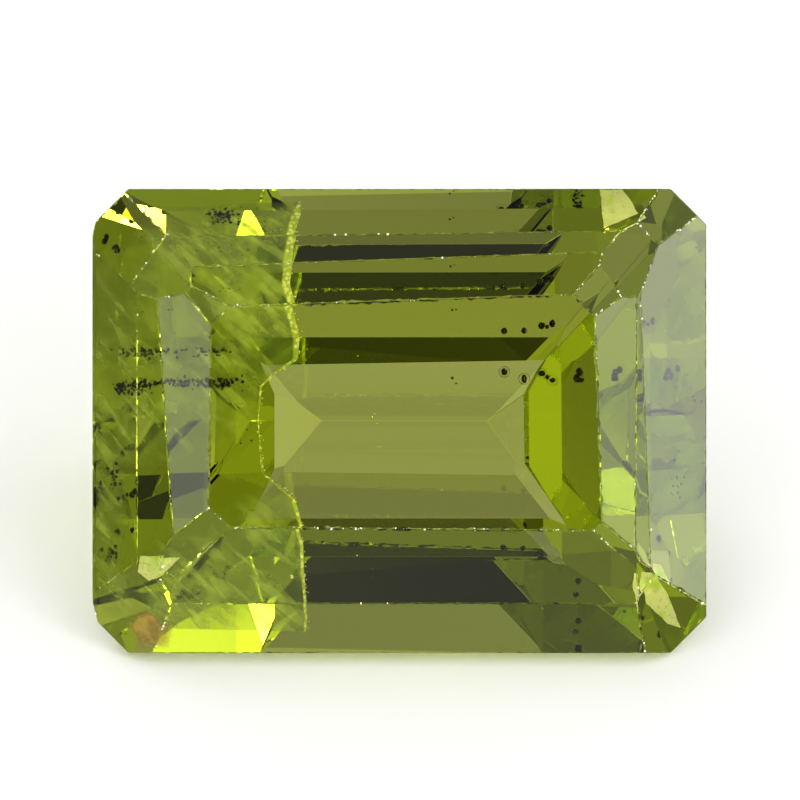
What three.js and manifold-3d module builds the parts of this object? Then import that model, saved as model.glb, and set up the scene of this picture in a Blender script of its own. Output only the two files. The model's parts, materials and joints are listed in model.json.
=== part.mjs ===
// A loose octagon-cut peridot, a step cut with cropped corners, at its real size in millimetres.
// The stone is cut table up, as on a lapidary's wheel, and then laid down on one facet of its underside,
// which is how a pointed stone comes to rest.
import * as THREE from 'three';
import { mergeVertices } from 'three/addons/utils/BufferGeometryUtils.js';
import Module from 'manifold-3d';

const wasm = await Module();
wasm.setup();

// The girdle, the widest outline of the stone
const length = 7.99;
const width = 6.04;
const cornerCut = 0.465;

// Depth of the keel, the straight ridge at the bottom of the stone, under the table
const keelDepth = 4.32;

// The stepped facets of each side, from the middle of the stone outwards: the crown's start at the table and
// the pavilion's, on the underside, at the keel. A facet starts `from` this far out, falls away by `slope`
// degrees, and is turned by `skew` degrees where the cut is not quite true.
const sides = {
  right: {
    azimuth: 0,
    crown: [
      { from: 2.58, slope: 18, skew: 2 },
      { from: 3.07, slope: 29.5, skew: 1 },
      { from: 3.19, slope: 45, skew: 1.5 },
    ],
    pavilion: [
      { from: 1.14, slope: 32 },
      { from: 1.63, slope: 45.5, skew: 0.5 },
      { from: 2.12, slope: 48.5, skew: 0.5 },
    ],
  },
  back: {
    azimuth: 90,
    crown: [
      { from: 1.56, slope: 21, skew: 2 },
      { from: 2.1, slope: 30, skew: 2 },
      { from: 2.43, slope: 44, skew: 1.5 },
    ],
    pavilion: [
      { from: 0, slope: 35.5, skew: -0.5 },
      { from: 0.76, slope: 47 },
      { from: 2.23, slope: 53.5 },
    ],
  },
  left: {
    azimuth: 180,
    crown: [
      { from: 2.46, slope: 17.5, skew: -0.5 },
      { from: 3.04, slope: 25.5, skew: 1 },
      { from: 3.41, slope: 42.5, skew: 0.5 },
    ],
    pavilion: [
      { from: 1.03, slope: 28 },
      { from: 1.64, slope: 51.5 },
      { from: 2.14, slope: 52 },
    ],
  },
  front: {
    azimuth: 270,
    crown: [
      { from: 1.4, slope: 20, skew: -0.5 },
      { from: 1.9, slope: 22 },
      { from: 2.37, slope: 35.5 },
    ],
    pavilion: [
      { from: 0, slope: 24, skew: 0.5 },
      { from: 0.69, slope: 36 },
      { from: 1.28, slope: 54 },
    ],
  },
};

// The cropped corners, narrower and a little flatter, with one step fewer on the underside
const corners = {
  backRight: {
    azimuth: 45,
    crown: [
      { from: 2.74, slope: 15.5, skew: 1 },
      { from: 3.34, slope: 23, skew: -3 },
      { from: 4.01, slope: 39.5, skew: -2 },
    ],
    pavilion: [
      { from: 0.81, slope: 27.5 },
      { from: 2.81, slope: 49 },
    ],
  },
  backLeft: {
    azimuth: 135,
    crown: [
      { from: 2.56, slope: 11.5, skew: -4 },
      { from: 3.22, slope: 27.5, skew: 2 },
      { from: 3.94, slope: 34.5, skew: 4 },
    ],
    pavilion: [
      { from: 0.81, slope: 28.5 },
      { from: 2.83, slope: 47.5 },
    ],
  },
  frontLeft: {
    azimuth: 225,
    crown: [
      { from: 2.51, slope: 14, skew: 2 },
      { from: 3.58, slope: 24.5, skew: -1 },
      { from: 3.8, slope: 37.5, skew: -5 },
    ],
    pavilion: [
      { from: 1.03, slope: 29.5 },
      { from: 2.78, slope: 50 },
    ],
  },
  frontRight: {
    azimuth: 315,
    crown: [
      { from: 2.81, slope: 13.5, skew: 2 },
      { from: 3.38, slope: 26.5, skew: -3 },
      { from: 3.9, slope: 41, skew: 2 },
    ],
    pavilion: [
      { from: 1.02, slope: 30 },
      { from: 2.78, slope: 49.5 },
    ],
  },
};

// The stone lies on the steepest facet of its front underside
const restingSlope = sides.front.pavilion.at(-1).slope;

const radians = THREE.MathUtils.degToRad;

// A block a little larger than the stone, as a solid that can be cut
function roughBlock() {
  const margin = 1;
  const block = new THREE.BoxGeometry(length + margin, width + margin, 2 * (keelDepth + margin));
  block.deleteAttribute('normal');
  block.deleteAttribute('uv');
  const closed = mergeVertices(block);
  return new wasm.Manifold(new wasm.Mesh({
    numProp: 3,
    vertProperties: new Float32Array(closed.attributes.position.array),
    triVerts: new Uint32Array(closed.index.array),
  }));
}

// Grinds away everything outside the plane through a point with this outward normal
function grind(stone, normal, point) {
  const inward = normal.clone().negate();
  return stone.trimByPlane(inward.toArray(), inward.dot(point));
}

// Cuts one side's steps: facing is 1 for the crown and -1 for the pavilion
function cutSteps(stone, azimuth, steps, startHeight, facing) {
  const outward = radians(azimuth);
  let height = startHeight;
  let cut = stone;
  steps.forEach(({ from, slope, skew = 0 }, index) => {
    const point = new THREE.Vector3(from * Math.cos(outward), from * Math.sin(outward), height);
    const heading = radians(azimuth + skew);
    const normal = new THREE.Vector3(
      Math.sin(radians(slope)) * Math.cos(heading),
      Math.sin(radians(slope)) * Math.sin(heading),
      facing * Math.cos(radians(slope)),
    );
    cut = grind(cut, normal, point);
    const next = steps[index + 1];
    if (next) height -= facing * (next.from - from) * Math.tan(radians(slope));
  });
  return cut;
}

// Cuts everything that faces one way: the upright girdle wall this far out, and the steps above and below it
function cutTowards(stone, { azimuth, crown, pavilion }, reach) {
  const outward = new THREE.Vector3(Math.cos(radians(azimuth)), Math.sin(radians(azimuth)), 0);
  let cut = grind(stone, outward, outward.clone().multiplyScalar(reach));
  cut = cutSteps(cut, azimuth, crown, 0, 1);
  return cutSteps(cut, azimuth, pavilion, -keelDepth, -1);
}

function cutStone() {
  let stone = grind(roughBlock(), new THREE.Vector3(0, 0, 1), new THREE.Vector3());
  for (const side of Object.values(sides)) {
    stone = cutTowards(stone, side, side.azimuth % 180 === 0 ? length / 2 : width / 2);
  }
  const cornerReach = (length / 2 + width / 2 - cornerCut) / Math.SQRT2;
  for (const corner of Object.values(corners)) stone = cutTowards(stone, corner, cornerReach);
  return stone;
}

function geometryOf(solid) {
  const { vertProperties, triVerts } = solid.getMesh();
  const geometry = new THREE.BufferGeometry();
  geometry.setAttribute('position', new THREE.BufferAttribute(vertProperties, 3));
  geometry.setIndex(new THREE.BufferAttribute(triVerts, 1));
  const facets = geometry.toNonIndexed();
  facets.computeVertexNormals();
  return facets;
}

const peridot = new THREE.Mesh(
  geometryOf(cutStone()),
  new THREE.MeshStandardMaterial({
    color: 0x8f9a3c,
    roughness: 0.04,
    metalness: 0,
    transparent: true,
    opacity: 0.6,
  }),
);
peridot.name = 'peridot';

// Turned about the long axis until the resting facet is level, with the middle of its box over the origin
peridot.rotation.x = radians(restingSlope);
const box = new THREE.Box3().setFromObject(peridot, true);
const middle = box.getCenter(new THREE.Vector3());
peridot.position.set(-middle.x, -middle.y, -box.min.z);

const group = new THREE.Group();
group.add(peridot);

export default group;
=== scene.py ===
import json
import math
import random

import bmesh
import bpy
from mathutils import Matrix, Vector, noise


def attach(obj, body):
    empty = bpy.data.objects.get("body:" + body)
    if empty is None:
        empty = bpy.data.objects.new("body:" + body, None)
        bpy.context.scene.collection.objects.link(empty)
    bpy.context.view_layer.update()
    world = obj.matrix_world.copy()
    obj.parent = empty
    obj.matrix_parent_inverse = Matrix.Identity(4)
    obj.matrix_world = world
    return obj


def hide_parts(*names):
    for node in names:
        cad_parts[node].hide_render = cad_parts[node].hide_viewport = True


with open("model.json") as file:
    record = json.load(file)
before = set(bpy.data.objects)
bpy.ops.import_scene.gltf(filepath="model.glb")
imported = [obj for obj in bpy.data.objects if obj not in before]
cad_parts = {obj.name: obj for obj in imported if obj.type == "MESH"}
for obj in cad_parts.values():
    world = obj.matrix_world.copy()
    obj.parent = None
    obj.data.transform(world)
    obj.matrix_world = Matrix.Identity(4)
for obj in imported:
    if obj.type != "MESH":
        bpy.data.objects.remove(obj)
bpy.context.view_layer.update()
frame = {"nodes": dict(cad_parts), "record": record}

mm = 0.001  # the stone is measured in millimetres, Blender in metres


# The stone's own directions: right along its length, up across its width as the photo shows it,
# and out, straight out of the table. All distances from here on start from the middle of the table.
tableMount = next(mount for mount in frame["record"]["mounts"] if mount["name"] == "table_face")
tableCentre = Vector(tableMount["pos_m"])
tableOut = Vector(tableMount["axis"]).normalized()
tableRight = Vector((1, 0, 0))
tableUp = tableOut.cross(tableRight).normalized()

stoneToWorld = Matrix.Identity(4)
for column, direction in enumerate((tableRight, tableUp, tableOut)):
    for row in range(3):
        stoneToWorld[row][column] = direction[row] * mm
for row in range(3):
    stoneToWorld[row][3] = tableCentre[row]
worldToStone = stoneToWorld.inverted()


def stonePoint(right, up, out):
    return stoneToWorld @ Vector((right, up, out))


def stoneDirection(right, up, out):
    return (tableRight * right + tableUp * up + tableOut * out).normalized()


# One output socket of a shader node, with the arithmetic of Math nodes
class Wire:
    def __init__(self, tree, socket=None):
        self.tree = tree
        self.socket = socket

    # Any new node, by its type, its settings and the values or links of its sockets
    def make(self, kind, settings=None, sockets=None, output=0):
        node = self.tree.nodes.new(kind)
        for name, value in (settings or {}).items():
            setattr(node, name, value)
        for name, value in (sockets or {}).items():
            if isinstance(value, Wire):
                self.tree.links.new(value.socket, node.inputs[name])
            else:
                node.inputs[name].default_value = value
        return Wire(self.tree, node.outputs[output] if node.outputs else None)

    def maths(self, operation, first, second):
        return self.make("ShaderNodeMath", {"operation": operation}, {0: first, 1: second})

    def __add__(self, other):
        return self.maths("ADD", self, other)

    def __radd__(self, other):
        return self.maths("ADD", other, self)

    def __sub__(self, other):
        return self.maths("SUBTRACT", self, other)

    def __rsub__(self, other):
        return self.maths("SUBTRACT", other, self)

    def __mul__(self, other):
        return self.maths("MULTIPLY", self, other)

    def __rmul__(self, other):
        return self.maths("MULTIPLY", other, self)

    def __gt__(self, other):
        return self.maths("GREATER_THAN", self, other)

    # A soft step: fromValue up to low and toValue from high on. Noise mostly lies between 0.3 and 0.7.
    def smooth(self, low, high, fromValue=0.0, toValue=1.0):
        return self.make(
            "ShaderNodeMapRange",
            {"interpolation_type": "SMOOTHSTEP"},
            {"Value": self, "From Min": low, "From Max": high, "To Min": fromValue, "To Max": toValue},
        )

    def attribute(self, name):
        return self.make("ShaderNodeAttribute", {"attribute_name": name}, output="Fac")

    def place(self):  # the piece's own coordinates, in metres
        return self.make("ShaderNodeTexCoord", output="Object")

    def noise(self, place, scale, detail=2.0, roughness=0.5, distortion=0.0):
        return self.make("ShaderNodeTexNoise", sockets={
            "Vector": place,
            "Scale": scale,
            "Detail": detail,
            "Roughness": roughness,
            "Distortion": distortion,
        })

    def stretched(self, place, angle, lengths):  # turned about the third axis and then drawn out
        return self.make(
            "ShaderNodeMapping",
            {"vector_type": "TEXTURE"},
            {"Vector": place, "Rotation": (0, 0, angle), "Scale": lengths},
        )

    def mixColour(self, factor, first, second):  # sockets 6 and 7 are a Mix node's colours
        return self.make("ShaderNodeMix", {"data_type": "RGBA"}, {0: factor, 6: first, 7: second}, output=2)

    def principled(self, sockets):
        return self.make("ShaderNodeBsdfPrincipled", sockets=sockets)

    def finish(self, surface, volume=None):
        sockets = {"Surface": surface}
        if volume is not None:
            sockets["Volume"] = volume
        self.make("ShaderNodeOutputMaterial", sockets=sockets)


def newMaterial(name):
    material = bpy.data.materials.new(name)
    material.use_nodes = True
    tree = material.node_tree
    tree.nodes.clear()
    return material, Wire(tree)


# Makes an object of a bmesh that is in the stone's millimetres, and lets it ride with the stone
def addPiece(name, shape, material):
    shape.transform(stoneToWorld)
    shape.normal_update()
    mesh = bpy.data.meshes.new(name)
    shape.to_mesh(mesh)
    shape.free()
    mesh.materials.append(material)
    piece = bpy.data.objects.new(name, mesh)
    bpy.context.collection.objects.link(piece)
    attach(piece, "root")
    print(name + ":", len(mesh.polygons), "faces")
    return piece


# Small lumps, which many of the stone's flaws are made of
lumps = {
    "bumps": {"height": 0.25, "perRadius": 1.3},
    "stretch": (0.75, 1.2),
    "shift": 50,  # moves each lump to bumps of its own
}


def addGrain(shape, place, radius, chance, fineness=1):
    bumps, shift = lumps["bumps"], lumps["shift"]
    made = bmesh.ops.create_icosphere(shape, subdivisions=fineness, radius=radius)
    stretch = Vector([chance.uniform(*lumps["stretch"]) for _ in range(3)])
    offset = Vector([chance.uniform(-shift, shift) for _ in range(3)])
    for vert in made["verts"]:
        lump = 1 + bumps["height"] * noise.noise(vert.co / radius * bumps["perRadius"] + offset)
        vert.co = vert.co * stretch * lump + Vector(place)


# The broken faces of crushed crystal, white in any light, and the painted glints along the crack's rim.
# Scales of noise are per metre.
crushedWhiteAndGlint = {"scale": 9000.0, "yellowish": (0.95, 0.9, 0.5, 1), "white": (1, 1, 0.95, 1), "roughness": 0.2}


def crushedWhiteAndGlintMaterial():
    material, wire = newMaterial("crushedWhiteAndGlint")
    patches = wire.noise(wire.place(), crushedWhiteAndGlint["scale"]).smooth(0.4, 0.6)
    colour = wire.mixColour(patches, crushedWhiteAndGlint["yellowish"], crushedWhiteAndGlint["white"])
    wire.finish(wire.principled({"Base Color": colour, "Roughness": crushedWhiteAndGlint["roughness"]}))
    return material


crystal = {
    "ior": 1.67,
    "colour": (0.905, 0.95, 0.20, 1),  # the darker a colour here, the more of it the crystal takes
    "density": 500.0,  # per metre
    "facets": {"scale": 900.0, "dullest": 0.012},
    "wornEdges": {"scale": 30000.0, "dullest": 0.12},
}


def crystalMaterial():
    material, wire = newMaterial("peridot crystal")
    facets, wornEdges = crystal["facets"], crystal["wornEdges"]
    place = wire.place()
    dull = wire.noise(place, facets["scale"], detail=4.0).smooth(0.45, 0.75)
    grit = wire.noise(place, wornEdges["scale"]).smooth(0.35, 0.65)
    worn = wire.attribute("worn")
    surface = wire.principled({
        "Base Color": (1, 1, 1, 1),
        "Roughness": dull * facets["dullest"] * (1 - worn) + worn * grit * wornEdges["dullest"],
        "IOR": crystal["ior"],
        "Transmission Weight": 1.0,
    })
    body = wire.make(
        "ShaderNodeVolumeAbsorption",
        sockets={"Color": crystal["colour"], "Density": crystal["density"]},
    )
    wire.finish(surface, body)
    return material


# Wear of the facet edges, in millimetres. It cuts a narrow flat along each edge, and chips that flat.
wear = {
    "seed": 11,
    "kinds": {  # the flat's width, its longest chip, and the share of places along it that have a chip
        "table": {"width": (0.016, 0.024), "chip": 0.030, "chipped": 0.6},
        "corner": {"width": (0.014, 0.024), "chip": 0.030, "chipped": 0.6},
        "crown": {"width": (0.012, 0.020), "chip": 0.020, "chipped": 0.35},
        "girdle": {"width": (0.018, 0.028), "chip": 0.016, "chipped": 0.3},
        "underside": {"width": (0.003, 0.006), "chip": 0.0, "chipped": 0.0},
    },
    "normals": {"level": 0.999, "upright": 0.01, "diagonal": 0.1},  # tell the kinds apart
    "leastTurn": 3.0,  # degrees; an edge that turns less shows no wear
    "pitch": 0.055,  # along an edge, from one chip to the next
    "jitter": 0.3,  # share of the pitch
    "chipSize": (0.3, 1.0),  # share of the longest chip
    "unchipped": 0.1,  # the same, where there is no chip
    "room": 0.3,  # how far a chip may reach into a facet, as a share of what is free there
    "clear": 0.03,  # what the wear of a facet's other edges takes of it
    "hollow": {  # along the flat's middle, in shares of its width
        "half": 0.2,
        "depth": 0.45,
        "sink": (0.2, 1.0),  # share of the depth
        "wander": 0.25,
    },
    "merge": 0.0001,
    "flat": 0.4,  # degrees; triangles that turn less are one facet
    "snap": 0.0003,
}


def wearKind(edge):
    facing = [face.normal for face in edge.link_faces]
    limits = wear["normals"]
    if max(normal.z for normal in facing) > limits["level"]:
        return "table"
    if min(abs(normal.z) for normal in facing) < limits["upright"]:
        return "girdle"
    if max(normal.z for normal in facing) < 0:
        return "underside"
    diagonal = any(min(abs(normal.x), abs(normal.y)) > limits["diagonal"] for normal in facing)
    return "corner" if diagonal else "crown"


# An edge as a facet's border: a point on it and the way into the facet
def borderOf(face, edge):
    start, end = (vert.co.copy() for vert in edge.verts)
    inward = face.normal.cross(end - start).normalized()
    return start, inward * math.copysign(1, inward.dot(face.calc_center_median() - start))


# Plans the flat that wear leaves along every edge: its plane, and its side in each facet
def planFlats(shape, chance):
    flats = []
    for edge in shape.edges:
        one, two = (face.normal for face in edge.link_faces)
        turn = one.angle(two)
        if turn < math.radians(wear["leastTurn"]):
            continue
        start, end = (vert.co.copy() for vert in edge.verts)
        along = (end - start).normalized()
        kind = wearKind(edge)
        width = chance.uniform(*wear["kinds"][kind]["width"])
        outward = (one + two).normalized()
        sides = []
        for face in edge.link_faces:
            inward = face.normal.cross(along)
            inward *= math.copysign(1, inward.dot(face.calc_center_median() - start))
            others = [borderOf(face, other) for other in face.edges if other != edge]
            sides.append({"inward": inward, "others": others})
        flats.append({
            "kind": kind,
            "width": width,
            "length": (end - start).length,
            "point": (start + end) / 2 - outward * width / 2 * math.tan(turn / 2),
            "outward": outward,
            "along": along,
            "across": along.cross(outward),
            "sides": sides,
        })
    return flats


# Cuts the flats, each of which closes the stone again as a face with the flat's number, from 1 up
def cutFlats(shape, flats):
    number = shape.faces.layers.int.new("flat")
    for index, flat in enumerate(flats, 1):
        bmesh.ops.bisect_plane(
            shape,
            geom=shape.verts[:] + shape.edges[:] + shape.faces[:],
            dist=wear["snap"],
            plane_co=flat["point"],
            plane_no=flat["outward"],
            clear_outer=True,
        )
        rim = [edge for edge in shape.edges if edge.is_boundary]
        if rim:
            for face in bmesh.ops.edgeloop_fill(shape, edges=rim)["faces"]:
                face[number] = index
    return number


# Cuts faces in two along a plane. Gives the faces on both sides of the cut and the corners on it.
def cutAcross(shape, faces, point, normal):
    geom = {part for face in faces for part in (face, *face.edges, *face.verts)}
    made = bmesh.ops.bisect_plane(
        shape, geom=list(geom), dist=wear["snap"], plane_co=point, plane_no=normal
    )
    return {
        "strip": [part for part in made["geom"] if isinstance(part, bmesh.types.BMFace)],
        "corners": [part for part in made["geom_cut"] if isinstance(part, bmesh.types.BMVert)],
    }


# The outer corners go back into the facet beside them as chips, the middle ones down as the hollow
def moveChip(corners, middle, flat, chance):
    kind, width, hollow = wear["kinds"][flat["kind"]], flat["width"], wear["hollow"]
    if chance.random() < kind["chipped"]:
        chip = kind["chip"] * chance.uniform(*wear["chipSize"])
    else:
        chip = kind["chip"] * wear["unchipped"]
    for vert in corners:
        offset = (vert.co - middle).dot(flat["across"])
        if abs(offset) < width * hollow["half"]:
            sink = chance.uniform(*hollow["sink"]) * hollow["depth"] * width
            wander = chance.uniform(-hollow["wander"], hollow["wander"])
            vert.co += flat["across"] * wander * width - flat["outward"] * sink
        else:
            side = max(flat["sides"], key=lambda side: side["inward"].dot(flat["across"]) * offset)
            free = min((vert.co - point).dot(inward) for point, inward in side["others"])
            room = max(free - wear["clear"], 0.0) * wear["room"]
            vert.co += side["inward"] * min(chip * chance.random(), room)


# Cuts a flat lengthwise and then across, and then moves the corners that each cut left
def chipFlat(shape, face, flat, chance):
    along, jitter = flat["along"], wear["jitter"]
    middle = face.calc_center_median()
    reach = [vert.co.dot(along) for vert in face.verts]
    first, last = min(reach), max(reach)
    count = int((last - first) / wear["pitch"])
    strip = cutAcross(shape, [face], middle, flat["across"])["strip"]
    rows = []
    for step in range(1, count):
        place = first + (last - first) * (step + chance.uniform(-jitter, jitter)) / count
        made = cutAcross(shape, strip, middle + along * (place - middle.dot(along)), along)
        strip = [part for part in made["strip"] if part.calc_center_median().dot(along) > place]
        rows.append(made["corners"])
    for row in rows:
        moveChip(row, middle, flat, chance)


# White specks of crushed crystal along the worn edges, in loose groups
crushed = {
    "perMm": {"table": 12, "corner": 24, "crown": 3, "girdle": 0, "underside": 0},
    "radius": (0.004, 0.018),
    "rarity": 3,  # of the large ones
    "spread": 3,  # the flat is this many standard deviations wide
    "groups": {"perMm": 3, "perMmAlong": 2.2, "least": 0.02},  # noise; an edge is bare where it is less
}


def makeSpecks(flats, chance):
    specks = bmesh.new()
    small, large = crushed["radius"]
    groups = crushed["groups"]
    for flat in flats:
        for _ in range(int(flat["length"] * crushed["perMm"][flat["kind"]])):
            along = flat["length"] * chance.uniform(-0.5, 0.5)
            spot = flat["point"] * groups["perMm"] + flat["along"] * along * groups["perMmAlong"]
            if noise.noise(spot) < groups["least"]:
                continue
            aside = chance.gauss(0, flat["width"] / crushed["spread"])
            place = flat["point"] + flat["along"] * along + flat["across"] * aside
            radius = small + (large - small) * chance.random() ** crushed["rarity"]
            addGrain(specks, place, radius, chance)
    addPiece("crushedEdges", specks, crushedWhiteAndGlintMaterial())


# The solid's loose triangles, joined into whole facets
def joinedFacets():
    shape = bmesh.new()
    shape.from_mesh(frame["nodes"]["peridot"].data)
    shape.transform(worldToStone)
    bmesh.ops.remove_doubles(shape, verts=shape.verts, dist=wear["merge"])
    flat = math.radians(wear["flat"])
    bmesh.ops.dissolve_limit(shape, angle_limit=flat, verts=shape.verts, edges=shape.edges)
    shape.normal_update()
    print("peridot facets:", len(shape.faces))
    return shape


def makeStone():
    shape = joinedFacets()
    chance = random.Random(wear["seed"])
    flats = planFlats(shape, chance)
    number = cutFlats(shape, flats)
    shape.normal_update()
    for face in [face for face in shape.faces if face[number]]:
        flat = flats[face[number] - 1]
        if wear["kinds"][flat["kind"]]["chip"]:
            chipFlat(shape, face, flat, chance)
    worn = shape.faces.layers.float.new("worn")
    for face in shape.faces:
        face[worn] = 1.0 if face[number] else 0.0
    stone = addPiece("peridotStone", shape, crystalMaterial())
    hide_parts("peridot")
    makeSpecks(flats, chance)


makeStone()


# Grains inside the stone. Each is given as right, up, out and radius in millimetres, and each swarm as
# a middle, its half sizes to the right and up, how many grains it has and the radius of the largest.
grains = {
    "seed": 3,
    "large": [
        (1.37, 0.64, -3.37, 0.048),
        (1.63, 0.55, -3.37, 0.050),
        (1.86, 0.62, -3.30, 0.044),
        (1.93, 0.57, -3.32, 0.028),
        (2.00, 0.53, -3.28, 0.046),
        (0.69, 0.56, -3.10, 0.016),
        (0.74, 0.49, -3.10, 0.012),
    ],
    "swarms": [
        {"middle": (-2.30, 0.49, -1.3), "reach": (0.20, 0.06), "count": 60, "largest": 0.028},
        {"middle": (-2.38, 0.90, -1.3), "reach": (0.12, 0.06), "count": 30, "largest": 0.024},
        {"middle": (-2.70, 0.49, -1.2), "reach": (0.35, 0.05), "count": 70, "largest": 0.026},
        {"middle": (-3.20, 0.47, -1.1), "reach": (0.12, 0.06), "count": 40, "largest": 0.030},
        {"middle": (-3.46, 0.44, -1.1), "reach": (0.08, 0.08), "count": 36, "largest": 0.032},
        {"middle": (-3.10, 0.90, -1.1), "reach": (0.28, 0.05), "count": 60, "largest": 0.026},
        {"middle": (-2.30, 2.48, -1.2), "reach": (0.17, 0.09), "count": 80, "largest": 0.028},
        {"middle": (-2.22, 2.00, -1.2), "reach": (0.14, 0.07), "count": 24, "largest": 0.014},
        {"middle": (-2.20, 1.52, -1.2), "reach": (0.10, 0.08), "count": 16, "largest": 0.014},
        {"middle": (-3.60, -0.75, -1.0), "reach": (0.12, 0.18), "count": 24, "largest": 0.035},
        {"middle": (-3.58, -1.75, -1.2), "reach": (0.12, 0.10), "count": 18, "largest": 0.032},
        {"middle": (-2.24, -1.70, -1.5), "reach": (0.07, 0.18), "count": 18, "largest": 0.027},
        {"middle": (3.45, 0.45, -1.2), "reach": (0.18, 0.14), "count": 12, "largest": 0.022},
        {"middle": (3.40, -0.80, -1.2), "reach": (0.14, 0.16), "count": 14, "largest": 0.024},
    ],
    "spread": 1.5,  # a swarm's half size is this many standard deviations
    "thickness": 0.1,  # how far a grain is above or below its swarm's middle at most
    "sizes": (0.3, 1.0),  # shares of the swarm's largest
    "black": {"scale": 40000.0, "colour": (0.004, 0.004, 0.003, 1), "roughness": 0.15},
    "brown": {"colour": (0.03, 0.028, 0.015, 1), "roughness": 0.45},
}

# The ring of strained crystal around a large grain
ring = {
    "radius": 1.6,  # share of the grain's radius, as is the width
    "width": 0.30,
    "corners": 24,
    "scale": 25000.0,
    "colour": (0.02, 0.025, 0.008, 1),
    "roughness": 0.5,
    "cover": (0.15, 0.6),
}


def grainMaterial():
    material, wire = newMaterial("black grain")
    black, brown = grains["black"], grains["brown"]
    speckle = wire.noise(wire.place(), black["scale"], detail=3.0)
    wire.finish(wire.principled({
        "Base Color": wire.mixColour(speckle.smooth(0.4, 0.7), black["colour"], brown["colour"]),
        "Roughness": speckle.smooth(0.3, 0.7, black["roughness"], brown["roughness"]),
    }))
    return material


def ringMaterial():
    material, wire = newMaterial("strained ring")
    patchy = wire.noise(wire.place(), ring["scale"], detail=1.0).smooth(0.3, 0.7, *ring["cover"])
    wire.finish(wire.principled({
        "Base Color": ring["colour"],
        "Roughness": ring["roughness"],
        "Alpha": patchy,
    }))
    return material


def addRing(shape, place, radius):
    made = bmesh.ops.create_circle(
        shape,
        cap_ends=True,
        segments=ring["corners"],
        radius=radius * ring["radius"],
        matrix=Matrix.Translation(place),
    )
    disc = made["verts"][0].link_faces[0]
    bmesh.ops.inset_region(shape, faces=[disc], use_boundary=True, thickness=radius * ring["width"])
    bmesh.ops.delete(shape, geom=[disc], context="FACES")


def makeGrains():
    chance = random.Random(grains["seed"])
    shape, rings = bmesh.new(), bmesh.new()
    for right, up, out, radius in grains["large"]:
        addGrain(shape, (right, up, out), radius, chance, fineness=2)
        addRing(rings, (right, up, out + radius), radius)
    for swarm in grains["swarms"]:
        for _ in range(swarm["count"]):
            right, up = (chance.gauss(0, reach / grains["spread"]) for reach in swarm["reach"])
            out = chance.uniform(-grains["thickness"], grains["thickness"])
            place = Vector(swarm["middle"]) + Vector((right, up, out))
            addGrain(shape, place, swarm["largest"] * chance.uniform(*grains["sizes"]), chance)
    addPiece("darkGrains", shape, grainMaterial())
    addPiece("grainRings", rings, ringMaterial())


makeGrains()


# The healed crack across the stone's left third: a thin cloudy sheet with a sharp rim, whose sparkle is
# painted as bright yellow-white beads along it. The rim is given as up, right and width from one end to the
# other, and the clouds by middle, half sizes and density.
healedCrack = {
    "rim": [
        (-2.52, -1.22, 0.03), (-2.30, -1.20, 0.04), (-1.80, -1.24, 0.05), (-1.40, -1.25, 0.05),
        (-1.02, -1.36, 0.06), (-0.68, -1.76, 0.05), (-0.40, -1.80, 0.02), (0.00, -1.83, 0.02),
        (0.45, -1.79, 0.03), (0.62, -1.60, 0.06), (0.80, -1.32, 0.08), (1.11, -1.30, 0.10),
        (1.57, -1.42, 0.12), (2.00, -1.37, 0.13), (2.40, -1.28, 0.13), (2.62, -1.29, 0.03),
    ],
    "farSide": -3.85,
    "depth": (-1.15, -1.5),  # at the far side and at the rim
    "clouds": [
        {"middle": (-2.00, 2.15), "reach": (1.40, 0.90), "density": 0.85},
        {"middle": (-1.70, 1.20), "reach": (0.90, 1.00), "density": 0.80},
        {"middle": (-2.30, 0.50), "reach": (0.80, 0.80), "density": 0.60},
        {"middle": (-1.60, -1.90), "reach": (0.95, 1.10), "density": 0.85},
        {"middle": (-2.60, -2.00), "reach": (0.65, 0.60), "density": 0.75},
        {"middle": (-2.90, -2.40), "reach": (0.90, 0.50), "density": 0.60},
        {"middle": (-3.50, 1.00), "reach": (0.70, 1.30), "density": 0.60},
        {"middle": (-3.20, -0.05), "reach": (0.90, 0.55), "density": 0.70},
        {"middle": (-3.75, -1.20), "reach": (0.45, 1.40), "density": 0.75},
    ],
    "cloudEdge": 0.5,  # below 1, a cloud is dense almost up to its edge
    "ripple": {"height": 0.05, "layer": 3.0},
    "grid": (120, 140),
    "mottle": {"scale": 2.2, "hides": 0.3, "dark": (0.15, 0.22, 0.011, 1), "light": (0.37, 0.45, 0.045, 1)},
    "streaks": {
        "scale": 1.3,
        "angle": -43,  # degrees
        "lengths": (1.2, 0.25, 1),
        "hides": 0.35,
        "strength": 0.7,
        "colour": (0.56, 0.63, 0.15, 1),
    },
    "rimLook": {"fade": 0.35, "hides": 0.35, "colour": (0.50, 0.58, 0.03, 1)},
    # painted glints: bright yellow-white dots along the rim
    "paintedRimGlints": {"scale": 17.0, "hides": 0.65, "between": 0.15, "colour": (1.0, 1.0, 0.45, 1)},
    "cloudHides": 0.55,  # share of what is behind, as with the others, at full density
    "roughness": 0.45,
}


# How far up the rim's two ends are
def rimEnds():
    return healedCrack["rim"][0][0], healedCrack["rim"][-1][0]


# How far right the rim is at this height, and how wide
def rimAt(up):
    points = [Vector(point) for point in healedCrack["rim"]]
    for lower, upper in zip(points, points[1:]):
        if up <= upper.x:
            place = lower.lerp(upper, (up - lower.x) / (upper.x - lower.x))
            return place.y, place.z
    return points[-1].y, points[-1].z


# The crack's place at a share of the way from the far side to the rim
def crackPoint(share, up):
    farSide, ripple = healedCrack["farSide"], healedCrack["ripple"]
    farDepth, rimDepth = healedCrack["depth"]
    right = farSide + (rimAt(up)[0] - farSide) * share
    out = farDepth + (rimDepth - farDepth) * share
    lift = ripple["height"] * noise.noise(Vector((right, up, ripple["layer"])))
    return Vector((right, up, out + lift))


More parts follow.
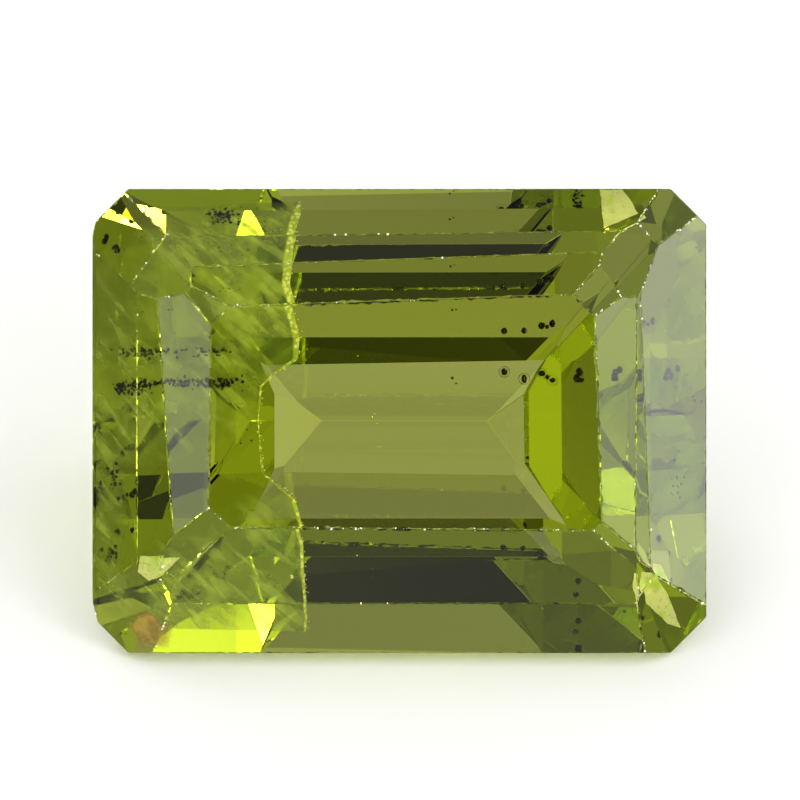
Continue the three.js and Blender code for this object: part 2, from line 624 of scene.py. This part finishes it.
def cloudAt(place):
    clear = 1.0
    for cloud in healedCrack["clouds"]:
        (right, up), (wide, high) = cloud["middle"], cloud["reach"]
        away = math.hypot((place.x - right) / wide, (place.y - up) / high)
        clear *= 1 - cloud["density"] * max(0.0, 1 - away) ** healedCrack["cloudEdge"]
    return 1 - clear


def crackMaterial():
    material, wire = newMaterial("healed crack")
    looks = (healedCrack[name] for name in ("mottle", "streaks", "rimLook", "paintedRimGlints"))
    mottleLook, streakLook, rimLook, paintedGlintLook = looks
    plan = wire.make("ShaderNodeUVMap", {"uv_map": "plan"})
    drawnOut = wire.stretched(plan, math.radians(streakLook["angle"]), streakLook["lengths"])
    streaks = wire.noise(drawnOut, streakLook["scale"], detail=3.0, distortion=0.3)
    mottle = wire.noise(plan, mottleLook["scale"], detail=3.0, roughness=0.55)
    cells = wire.make("ShaderNodeTexVoronoi", sockets={"Vector": plan, "Scale": paintedGlintLook["scale"]})
    paintedRimGlints = cells.smooth(0.28, 0.55, fromValue=1.0, toValue=paintedGlintLook["between"])
    rim = wire.attribute("rim").smooth(0.0, rimLook["fade"])

    patches = healedCrack["cloudHides"] + streaks.smooth(0.4, 0.62) * streakLook["hides"]
    patches = patches + mottle.smooth(0.4, 0.62) * mottleLook["hides"]
    cover = wire.attribute("cloud") * patches + rim * (rimLook["hides"] + paintedRimGlints * paintedGlintLook["hides"])

    colour = wire.mixColour(mottle.smooth(0.35, 0.65), mottleLook["dark"], mottleLook["light"])
    streaked = streaks.smooth(0.5, 0.64) * streakLook["strength"]
    colour = wire.mixColour(streaked, colour, streakLook["colour"])
    colour = wire.mixColour(rim, colour, rimLook["colour"])
    # the painted glints on the rim
    colour = wire.mixColour(rim * paintedRimGlints, colour, paintedGlintLook["colour"])
    wire.finish(wire.principled({
        "Base Color": colour,
        "Roughness": healedCrack["roughness"],
        "Alpha": cover,
    }))
    return material


def makeCrack():
    sheet = bmesh.new()
    columns, rows = healedCrack["grid"]
    bmesh.ops.create_grid(sheet, x_segments=columns, y_segments=rows, size=0.5)
    cloud = sheet.verts.layers.float.new("cloud")
    rim = sheet.verts.layers.float.new("rim")
    plan = sheet.loops.layers.uv.new("plan")
    lowest, highest = rimEnds()
    for vert in sheet.verts:
        share, up = vert.co.x + 0.5, lowest + (highest - lowest) * (vert.co.y + 0.5)
        vert.co = crackPoint(share, up)
        vert[cloud] = cloudAt(vert.co)
        rimRight, rimWidth = rimAt(up)
        vert[rim] = max(0.0, 1 - (rimRight - vert.co.x) / rimWidth)
    for face in sheet.faces:
        for loop in face.loops:
            loop[plan].uv = loop.vert.co.xy
    addPiece("healedCrack", sheet, crackMaterial())


makeCrack()


# Painted glints: white specks along the crack's rim, and a few elsewhere in the stone, as right, up, out and
# radius
crackPaintedGlints = {
    "seed": 8,
    "count": 110,
    "radius": 0.011,
    "sizes": (0.4, 1.2),  # shares of the radius
    "spread": 0.02,
    "elsewhere": [
        (-0.36, 0.05, -2.4, 0.020),
        (-0.29, -0.04, -2.4, 0.014),
        (-0.33, 0.09, -2.4, 0.010),
        (3.25, -1.41, -0.31, 0.022),
        (-1.40, -1.85, -1.4, 0.022),
        (-0.55, -1.55, -1.5, 0.010),
    ],
}


def makePaintedGlints():
    chance = random.Random(crackPaintedGlints["seed"])
    dots = bmesh.new()
    for _ in range(crackPaintedGlints["count"]):
        place = crackPoint(1.0, chance.uniform(*rimEnds()))
        place.x += chance.gauss(0, crackPaintedGlints["spread"])
        size = chance.uniform(*crackPaintedGlints["sizes"])
        # each speck is a white dot that stands in for a glint of reflected light
        addGrain(dots, place, crackPaintedGlints["radius"] * size, chance)
    for right, up, out, radius in crackPaintedGlints["elsewhere"]:
        addGrain(dots, (right, up, out), radius, chance)
    addPiece("crackPaintedGlints", dots, crushedWhiteAndGlintMaterial())


makePaintedGlints()


# The orange-brown stain by the front left corner, a film inside the stone
stain = {
    "middle": (-3.20, -2.66, -1.03),
    "reach": (0.29, 0.27),
    "corners": 28,
    "border": 0.35,  # share of its radius over which it fades out
    "ragged": {"height": 0.3, "scale": 1.8},
    "patches": {"scale": 3000.0, "dark": (0.55, 0.20, 0.04, 1), "light": (0.75, 0.42, 0.10, 1)},
    "cover": (0.35, 0.8),
    "roughness": 0.6,
}


def stainMaterial():
    material, wire = newMaterial("rusty film")
    patches = stain["patches"]
    patchy = wire.noise(wire.place(), patches["scale"], detail=4.0)
    wire.finish(wire.principled({
        "Base Color": wire.mixColour(patchy.smooth(0.4, 0.62), patches["dark"], patches["light"]),
        "Roughness": stain["roughness"],
        "Alpha": wire.attribute("fade") * patchy.smooth(0.34, 0.6, *stain["cover"]),
    }))
    return material


def makeStain():
    film = bmesh.new()
    bmesh.ops.create_circle(film, cap_ends=True, segments=stain["corners"], radius=1.0)
    bmesh.ops.inset_region(film, faces=film.faces[:], use_boundary=True, thickness=stain["border"])
    fade = film.verts.layers.float.new("fade")
    (wide, high), ragged = stain["reach"], stain["ragged"]
    for vert in film.verts:
        vert[fade] = 1.0 if vert.co.length < 1 - stain["border"] / 2 else 0.0
        edge = 1 + ragged["height"] * noise.noise(vert.co * ragged["scale"])
        vert.co = Vector((vert.co.x * wide, vert.co.y * high, 0)) * edge + Vector(stain["middle"])
    addPiece("rustyStain", film, stainMaterial())


makeStain()


# Bright feathers: films for small cracks, whose flash of light thrown back is painted into their colour as a
# painted highlight. Each is an outline of right and up, at one depth.
feathers = {
    "seed": 5,
    "films": [
        {"out": -1.0, "outline": [(2.61, 2.975), (2.90, 2.975), (3.12, 2.56), (2.665, 2.30)]},
        {
            "out": -0.95,
            "outline": [
                (3.04, -1.86), (3.19, -1.87), (3.40, -2.18), (3.65, -2.68),
                (3.45, -2.60), (3.10, -2.27), (3.04, -2.10),
            ],
        },
        {
            "out": -0.6,
            "outline": [(-3.33, -1.75), (-2.82, -1.75), (-3.04, -1.96), (-3.21, -2.05), (-3.365, -1.93)],
        },
    ],
    "cuts": 7,
    "crumple": {"height": 0.02, "perMm": 7.0},
    "paintedFlash": {"scale": 2500.0, "green": (0.66, 0.88, 0.05, 1), "yellow": (1, 1, 0.40, 1)},
    "dots": {"scale": 20000.0, "colour": (0.40, 0.50, 0.03, 1), "strength": 0.35},
    "roughness": 0.4,
}


def paintedFlashMaterial():
    material, wire = newMaterial("feather with painted flash")
    paintedFlash, dots = feathers["paintedFlash"], feathers["dots"]
    place = wire.place()
    # the painted flash: where the feather is painted bright yellow rather than green
    bright = wire.noise(place, paintedFlash["scale"], detail=3.0, roughness=0.6).smooth(0.32, 0.55)
    dotted = wire.noise(place, dots["scale"], roughness=0.6).smooth(0.56, 0.66)
    colour = wire.mixColour(bright, paintedFlash["green"], paintedFlash["yellow"])
    colour = wire.mixColour(dotted * dots["strength"], colour, dots["colour"])
    wire.finish(wire.principled({"Base Color": colour, "Roughness": feathers["roughness"]}))
    return material


def makeFeathers():
    shape = bmesh.new()
    for film in feathers["films"]:
        corners = [
            bmesh.ops.create_vert(shape, co=(right, up, film["out"]))["vert"][0]
            for right, up in film["outline"]
        ]
        bmesh.ops.contextual_create(shape, geom=corners)
    bmesh.ops.triangulate(shape, faces=shape.faces[:])
    bmesh.ops.subdivide_edges(shape, edges=shape.edges[:], cuts=feathers["cuts"], use_grid_fill=True)
    crumple = feathers["crumple"]
    noise.seed_set(feathers["seed"])  # without it, noise vectors differ from run to run
    for vert in shape.verts:
        vert.co += noise.noise_vector(vert.co * crumple["perMm"]) * crumple["height"]
    addPiece("paintedFlashFeathers", shape, paintedFlashMaterial())


makeFeathers()


floor = {
    "halfSide": 0.4,
    "gap": 1e-6,  # metres below the stone
    "colour": (0.92, 0.92, 0.92, 1),
    "roughness": 0.8,
}


def makeFloor():
    plane = bmesh.new()
    bmesh.ops.create_grid(plane, x_segments=1, y_segments=1, size=floor["halfSide"])
    mesh = bpy.data.meshes.new("floor")
    plane.to_mesh(mesh)
    plane.free()
    ground = bpy.data.objects.new("floor", mesh)
    bpy.context.collection.objects.link(ground)
    ground.location.z = -floor["gap"]
    material, wire = newMaterial("white floor")
    wire.finish(wire.principled({"Base Color": floor["colour"], "Roughness": floor["roughness"]}))
    mesh.materials.append(material)
    ground.visible_transmission = False  # the stone sees only the studio's light, also from below
    ground.visible_glossy = False
    print("floor:", floor["halfSide"] * 2, "m across")


makeFloor()


# The studio's light, from directions around the stone. Tilt is counted from the table's own direction and
# azimuth round from the stone's right towards its upper side. A light is at full strength in its middle and
# ends at its size, and a card holds the light back in the same way. All angles are in degrees.
studio = {
    "softboxes": [
        {"tilt": 95, "azimuth": 0, "size": 14, "brightness": 2.5},
        {"tilt": 90, "azimuth": 15, "size": 50, "brightness": 0.5},
        {"tilt": 30, "azimuth": 0, "size": 34, "brightness": 0.3},
        {"tilt": 50, "azimuth": 50, "size": 22, "brightness": 0.3},
        {"tilt": 40, "azimuth": 105, "size": 50, "brightness": 0.25},
        {"tilt": 85, "azimuth": 110, "size": 22, "brightness": 0.7},
        {"tilt": 120, "azimuth": 70, "size": 34, "brightness": 0.35},
        {"tilt": 125, "azimuth": 140, "size": 50, "brightness": 0.3},
        {"tilt": 70, "azimuth": 190, "size": 50, "brightness": 0.1},
        {"tilt": 25, "azimuth": 210, "size": 22, "brightness": 0.35},
        {"tilt": 80, "azimuth": 240, "size": 50, "brightness": 0.2},
        {"tilt": 110, "azimuth": 255, "size": 22, "brightness": 0.6},
        {"tilt": 35, "azimuth": 270, "size": 28, "brightness": 0.1},
        {"tilt": 55, "azimuth": 300, "size": 50, "brightness": 0.25},
        {"tilt": 165, "azimuth": 290, "size": 50, "brightness": 0.5},
        {"tilt": 30, "azimuth": 0, "size": 10, "brightness": 0.4},
        {"tilt": 40, "azimuth": 10, "size": 10, "brightness": 1.8},
        {"tilt": 55, "azimuth": 355, "size": 10, "brightness": 2.5},
        {"tilt": 65, "azimuth": 345, "size": 8, "brightness": 1.8},
        {"tilt": 35, "azimuth": 170, "size": 10, "brightness": 2.0},
    ],
    "lamps": [  # small and strong, for the flashes
        {"tilt": 40, "azimuth": 350, "size": 8, "brightness": 12.0},
        {"tilt": 65, "azimuth": 20, "size": 6, "brightness": 50.0},
        {"tilt": 75, "azimuth": 320, "size": 8, "brightness": 15.0},
        {"tilt": 150, "azimuth": 295, "size": 8, "brightness": 12.0},
    ],
    "lampTurns": 3.5,  # only light that turned about more often than this inside the stone sees the lamps
    "cards": [
        {"tilt": 40, "azimuth": 80, "size": 12},
        {"tilt": 155, "azimuth": 200, "size": 10},
        {"tilt": 35, "azimuth": 165, "size": 10},
    ],
    "softness": 0.7,  # share of a light's size over which it fades
    "lens": {"tilt": 0, "azimuth": 0, "size": 9.4, "brightness": 0.02},  # the camera, mirrored in the table
    "fill": 2.3,  # how much more light matt surfaces get
    "backdrop": 1.0,
}


# How much of a light or card there is in the direction looked in
def lightShape(wire, ray, lamp):
    tilt, azimuth, size = (math.radians(lamp[name]) for name in ("tilt", "azimuth", "size"))
    towards = stoneDirection(
        math.sin(tilt) * math.cos(azimuth), math.sin(tilt) * math.sin(azimuth), math.cos(tilt)
    )
    along = wire.make(
        "ShaderNodeVectorMath", {"operation": "DOT_PRODUCT"}, {0: ray, 1: towards}, output="Value"
    )
    return along.smooth(math.cos(size), math.cos(size * (1 - studio["softness"])))


def makeWorld():
    world = bpy.data.worlds.new("studio")
    world.use_nodes = True
    tree = world.node_tree
    tree.nodes.clear()
    wire = Wire(tree)
    ray = wire.make("ShaderNodeTexCoord")  # for a world, the direction looked in
    light = 0.0
    for lamp in studio["lamps"]:
        light = light + lamp["brightness"] * lightShape(wire, ray, lamp)
    light = light * (wire.make("ShaderNodeLightPath", output="Ray Depth") > studio["lampTurns"])
    for lamp in studio["softboxes"]:
        light = light + lamp["brightness"] * lightShape(wire, ray, lamp)
    for card in studio["cards"]:
        light = light * (1 - lightShape(wire, ray, card))
    lens = lightShape(wire, ray, studio["lens"])
    light = light * (1 - lens) + studio["lens"]["brightness"] * lens
    onMatt = wire.make("ShaderNodeLightPath", output="Diffuse Depth") > 0.5
    light = light * (1 + onMatt * studio["fill"])
    seen = wire.make("ShaderNodeLightPath", output="Is Camera Ray")  # looked at past the stone
    light = light * (1 - seen) + studio["backdrop"] * seen
    lit = wire.make("ShaderNodeBackground", sockets={"Color": (1, 1, 1, 1), "Strength": light})
    wire.make("ShaderNodeOutputWorld", sockets={"Surface": lit})
    bpy.context.scene.world = world
    lights = len(studio["softboxes"]) + len(studio["lamps"])
    print("studio:", lights, "lights and", len(studio["cards"]), "cards")


makeWorld()


# A broad light on the floor, which the stone neither mirrors nor lets through
keyLight = {"strength": 0.9, "spread": 90, "from": (0, 0.3, 1)}


def makeKeyLight():
    light = bpy.data.lights.new("key", "SUN")
    light.energy = keyLight["strength"]
    light.angle = math.radians(keyLight["spread"])
    lamp = bpy.data.objects.new("key", light)
    lamp.rotation_mode = "QUATERNION"
    lamp.rotation_quaternion = stoneDirection(*keyLight["from"]).to_track_quat("Z", "Y")
    lamp.visible_transmission = False
    lamp.visible_glossy = False
    bpy.context.collection.objects.link(lamp)
    print("key light:", keyLight["strength"], "W per square metre")


makeKeyLight()


# The camera looks straight down on the table, as the photo does, in millimetres from the table's middle
view = {
    "distance": 250.0,
    "frameWidth": 10.373,  # what the picture spans at the table
    "right": 0.0065,
    "up": 0.272,
    "sensor": 36.0,
    "clip": (0.01, 5.0),  # metres
}


def makeCamera():
    camera = bpy.data.cameras.new("camera")
    camera.sensor_width = view["sensor"]
    camera.lens = camera.sensor_width * view["distance"] / view["frameWidth"]
    camera.clip_start, camera.clip_end = view["clip"]
    holder = bpy.data.objects.new("camera", camera)
    holder.location = stonePoint(view["right"], view["up"], view["distance"])
    holder.rotation_mode = "QUATERNION"
    holder.rotation_quaternion = tableOut.to_track_quat("Z", "Y")
    bpy.context.collection.objects.link(holder)
    bpy.context.scene.camera = holder
    print("camera:", round(camera.lens), "mm lens")


makeCamera()


scene = bpy.context.scene
scene.view_settings.view_transform = "Standard"
bounces = 40  # a step cut turns light about many times before it comes out
scene.cycles.max_bounces = bounces
scene.cycles.transmission_bounces = bounces
scene.cycles.transparent_max_bounces = bounces
scene.cycles.caustics_refractive = True
scene.cycles.caustics_reflective = True
scene.cycles.use_denoising = True
